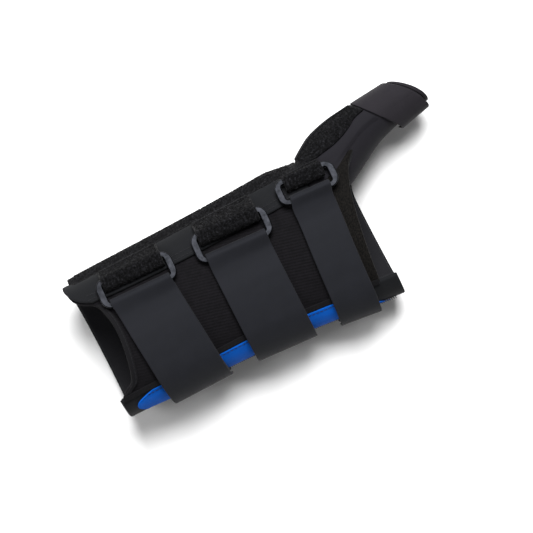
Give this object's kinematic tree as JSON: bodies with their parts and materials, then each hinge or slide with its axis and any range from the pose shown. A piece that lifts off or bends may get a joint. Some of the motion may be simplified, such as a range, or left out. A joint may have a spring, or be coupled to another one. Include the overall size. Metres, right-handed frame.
{
  "type": "wrist splint",
  "caption": "Wrap-round wrist and thumb splint with ring-and-strap closures, a ribbed back panel, a blue edge tape and removable stays.",
  "frame": {"origin": "a point on the flat bottom of the palmar stay pocket, under the wrist, on which the splint lies", "axes": "+X along the forearm towards the fingers, +Y towards the thumb side, +Z out of the back of the hand"},
  "size_m": [0.2437, 0.1205, 0.0692],
  "materials": {
    "laminate": "smooth black foam laminate",
    "fleece": "brushed black lining",
    "stretch_rib": "fine ribbed stretch knit",
    "knit_elastic": "brown-black knitted elastic",
    "loop_pile": "fuzzy loop pile",
    "strap_cloth": "smooth charcoal strap",
    "hook": "moulded hook tape",
    "thread": "bonded thread",
    "blue_tape": "blue woven tape",
    "gunmetal": "dark gunmetal plating",
    "stay_metal": "plain rolled sheet"
  },
  "bodies": {
    "splint": {"body_shell": "laminate", "body_lining": "fleece", "dorsal_panel": "stretch_rib", "distal_border": "knit_elastic", "dorsal_seam_tape": "knit_elastic", "proximal_hem": "knit_elastic", "radial_flap": "laminate", "radial_pocket": "loop_pile", "blue_trim": "blue_tape", "ulnar_overlock": "knit_elastic", "ring_tab_1": "loop_pile", "strap_base_1": "strap_cloth", "anchor_stitch_1": "thread", "ring_tab_2": "loop_pile", "strap_base_2": "strap_cloth", "anchor_stitch_2": "thread", "ring_tab_3": "loop_pile", "strap_base_3": "strap_cloth", "anchor_stitch_3": "thread", "thumb_cuff": "laminate", "thumb_lining": "fleece", "thumb_loop_strip": "loop_pile", "thumb_panel": "laminate", "thumb_strap": "strap_cloth", "thumb_rim": "knit_elastic", "palmar_pocket": "laminate"},
    "ring_1": {"ring_1": "gunmetal"},
    "strap_1": {"strap_flap_1": "strap_cloth", "hook_patch_1": "hook"},
    "ring_2": {"ring_2": "gunmetal"},
    "strap_2": {"strap_flap_2": "strap_cloth", "hook_patch_2": "hook"},
    "ring_3": {"ring_3": "gunmetal"},
    "strap_3": {"strap_flap_3": "strap_cloth", "hook_patch_3": "hook"},
    "thumb_strap_end": {"thumb_strap_end": "strap_cloth", "thumb_hook_patch": "hook"},
    "palmar_stay": {"palmar_stay": "stay_metal"},
    "radial_stay": {"radial_stay": "stay_metal"}
  },
  "joints": [
    {"name": "ring_1_tilt", "type": "hinge", "parent": "splint", "child": "ring_1", "pos_m": [-0.048, 0.0351, 0.06106], "axis": [-0.9988, 0.0384, 0.0293], "range_deg": [0, 35]},
    {"name": "strap_1_peel", "type": "hinge", "parent": "ring_1", "child": "strap_1", "pos_m": [-0.04846, 0.02022, 0.06489], "axis": [-0.9988, 0.0384, 0.0293], "range_deg": [0, 120]},
    {"name": "ring_2_tilt", "type": "hinge", "parent": "splint", "child": "ring_2", "pos_m": [0.0134, 0.0332, 0.0578], "axis": [-0.9966, 0.0627, 0.0532], "range_deg": [0, 35]},
    {"name": "strap_2_peel", "type": "hinge", "parent": "ring_2", "child": "strap_2", "pos_m": [0.01257, 0.01765, 0.06054], "axis": [-0.9966, 0.0627, 0.0532], "range_deg": [0, 120]},
    {"name": "ring_3_tilt", "type": "hinge", "parent": "splint", "child": "ring_3", "pos_m": [0.066, 0.0384, 0.05148], "axis": [-0.9972, 0.0627, 0.0417], "range_deg": [0, 35]},
    {"name": "strap_3_peel", "type": "hinge", "parent": "ring_3", "child": "strap_3", "pos_m": [0.06537, 0.02564, 0.0557], "axis": [-0.9972, 0.0627, 0.0417], "range_deg": [0, 120]},
    {"name": "thumb_strap_peel", "type": "hinge", "parent": "splint", "child": "thumb_strap_end", "pos_m": [0.13449, 0.04836, 0.04099], "axis": [-0.9834, -0.1721, 0.0579], "range_deg": [0, 100]},
    {"name": "palmar_stay_slide", "type": "slide", "parent": "splint", "child": "palmar_stay", "axis": [-1, 0, 0], "range_m": [0, 0.155]},
    {"name": "radial_stay_slide", "type": "slide", "parent": "splint", "child": "radial_stay", "axis": [-0.9991, -0.0141, 0.0398], "range_m": [0, 0.13]}
  ]
}
